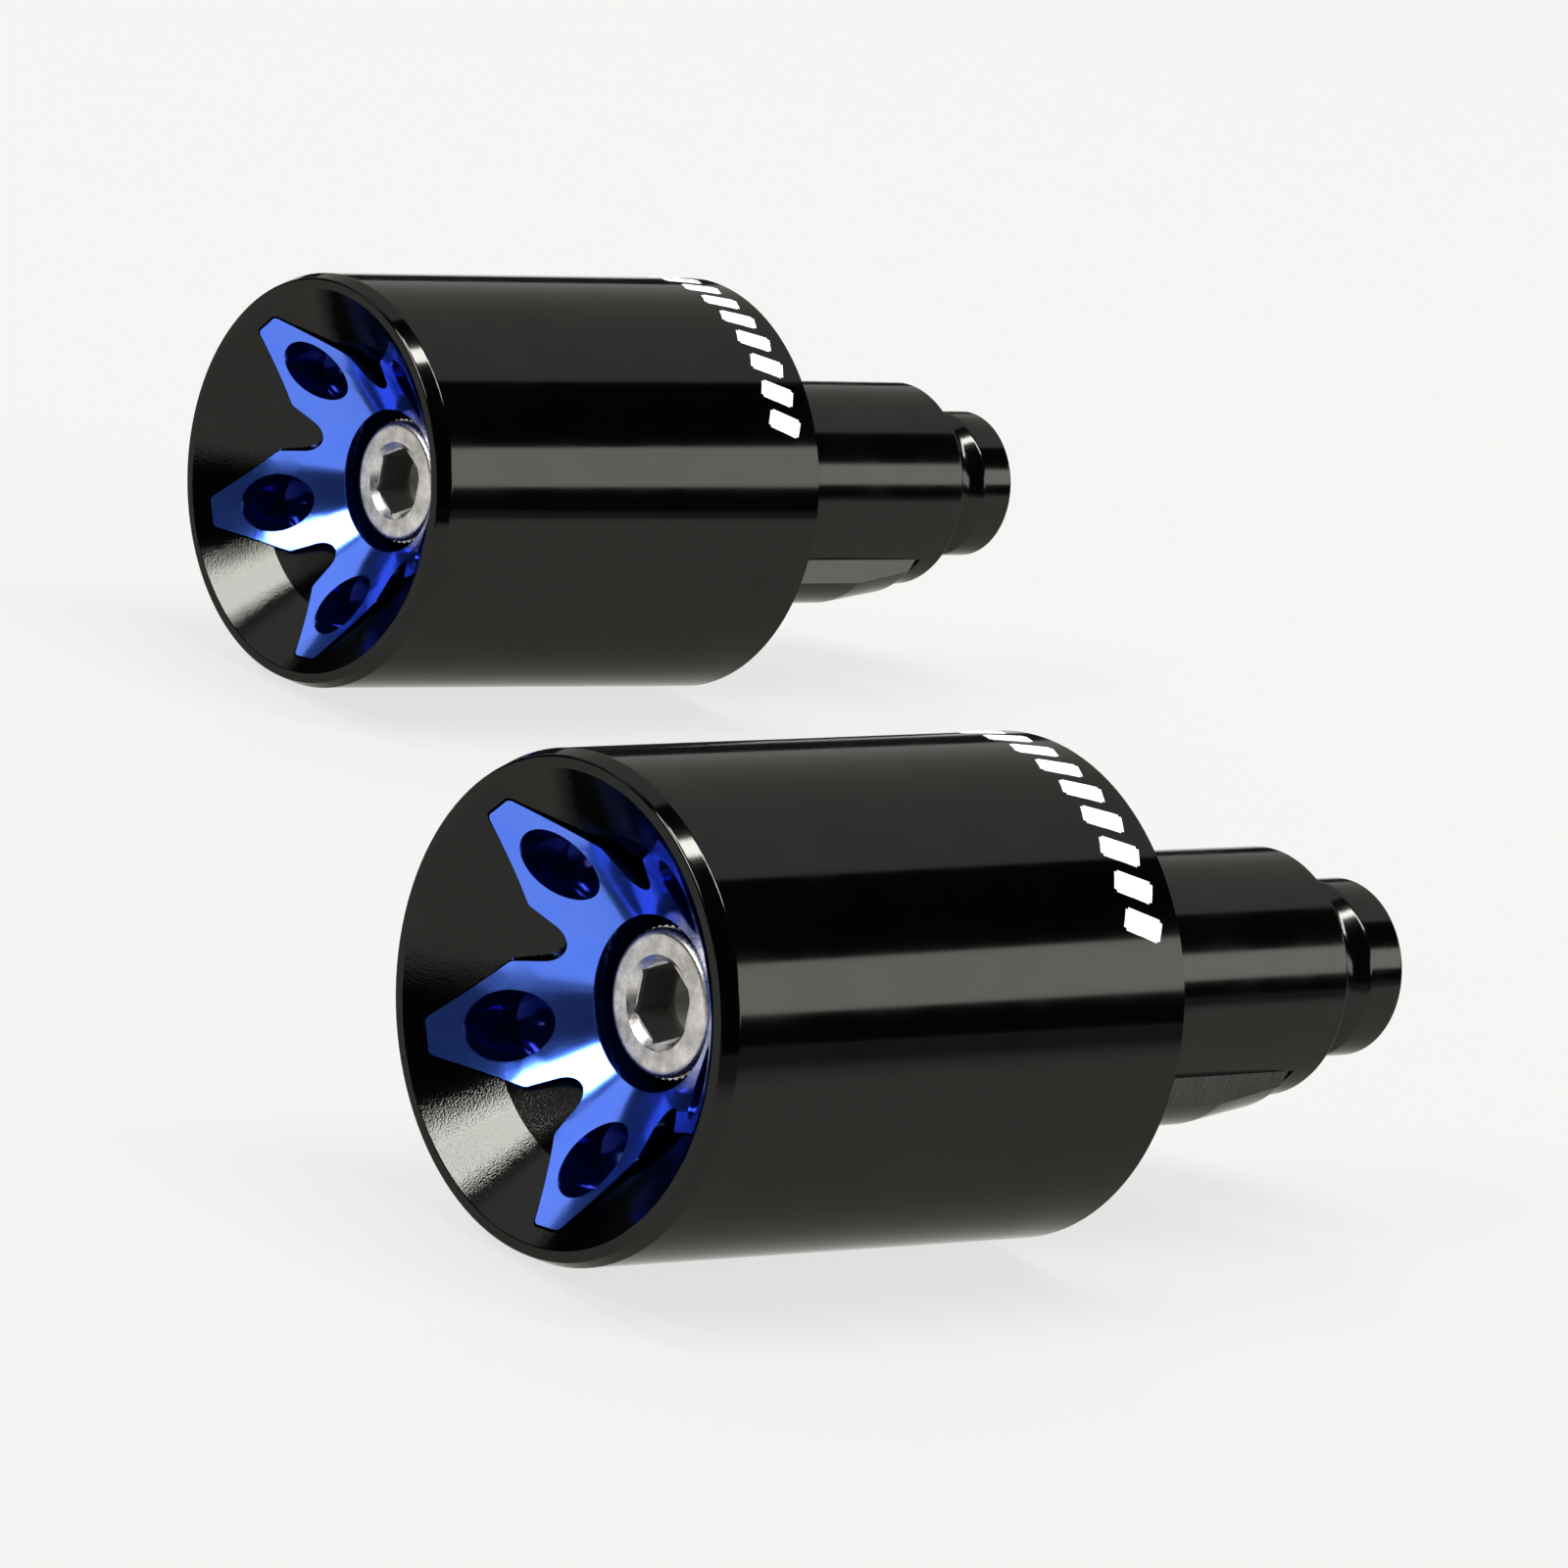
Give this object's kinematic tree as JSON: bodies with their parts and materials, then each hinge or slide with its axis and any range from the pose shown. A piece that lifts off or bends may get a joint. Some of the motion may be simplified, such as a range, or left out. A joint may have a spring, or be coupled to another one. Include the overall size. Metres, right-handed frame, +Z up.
{
  "type": "handlebar end weight pair",
  "caption": "Pair of turned handlebar-end weights with a star insert in a conical recess, a hexagon socket screw and a wedge-clamped spigot.",
  "frame": {"origin": "centre of the pair's floor box, on the floor", "axes": "+Z up; +X along both grips' axes, from the open rims towards the spigots; +Y from grip a to grip b"},
  "size_m": [0.143, 0.1548, 0.0348],
  "materials": {
    "anodised_black": "gloss black anodised, fine turning marks",
    "anodised_blue": "bright blue anodised, satin sheen",
    "stainless": "stainless, worn and slightly rough",
    "washer_steel": "plated steel",
    "anodised_black_satin": "satin black anodised",
    "anodised_black_nut": "satin black anodised",
    "rubber": "matt black rubber",
    "nylon": "matt black nylon"
  },
  "bodies": {
    "pair": {"weight_a": "anodised_black", "star_a": "anodised_blue", "spring_washer_a": "washer_steel", "washer_a": "washer_steel", "spigot_a": "anodised_black_satin", "bar_washer_a": "nylon", "weight_b": "anodised_black", "star_b": "anodised_blue", "spring_washer_b": "washer_steel", "washer_b": "washer_steel", "spigot_b": "anodised_black_satin", "bar_washer_b": "nylon"},
    "screw_a": {"screw_a": "stainless"},
    "nut_a": {"nut_a": "anodised_black_nut", "nut_ring_a": "rubber"},
    "shoe_a": {"shoe_a": "anodised_black_satin"},
    "screw_b": {"screw_b": "stainless"},
    "nut_b": {"nut_b": "anodised_black_nut", "nut_ring_b": "rubber"},
    "shoe_b": {"shoe_b": "anodised_black_satin"}
  },
  "joints": [
    {"name": "screw_turn_a", "type": "hinge", "parent": "pair", "child": "screw_a", "pos_m": [-0.0626, -0.06, 0.0174], "axis": [1, 0, 0], "range_deg": [-1980, 0]},
    {"name": "nut_slide_a", "type": "slide", "parent": "pair", "child": "nut_a", "axis": [1, 0, 0], "range_m": [0, 0.00551]},
    {"name": "shoe_slide_a", "type": "slide", "parent": "pair", "child": "shoe_a", "axis": [0, -0.3256, -0.9455], "range_m": [-0.00166, 0]},
    {"name": "screw_turn_b", "type": "hinge", "parent": "pair", "child": "screw_b", "pos_m": [0.0074, 0.06, 0.0174], "axis": [1, 0, 0], "range_deg": [-1980, 0]},
    {"name": "nut_slide_b", "type": "slide", "parent": "pair", "child": "nut_b", "axis": [1, 0, 0], "range_m": [0, 0.00551]},
    {"name": "shoe_slide_b", "type": "slide", "parent": "pair", "child": "shoe_b", "axis": [0, -0.3256, -0.9455], "range_m": [-0.00166, 0]}
  ],
  "couplings": [
    {"joint": "nut_slide_a", "follows": "screw_turn_a", "m_per_rad": -0.00015915},
    {"joint": "shoe_slide_a", "follows": "screw_turn_a", "m_per_rad": 0.000047747},
    {"joint": "nut_slide_b", "follows": "screw_turn_b", "m_per_rad": -0.00015915},
    {"joint": "shoe_slide_b", "follows": "screw_turn_b", "m_per_rad": 0.000047747}
  ]
}
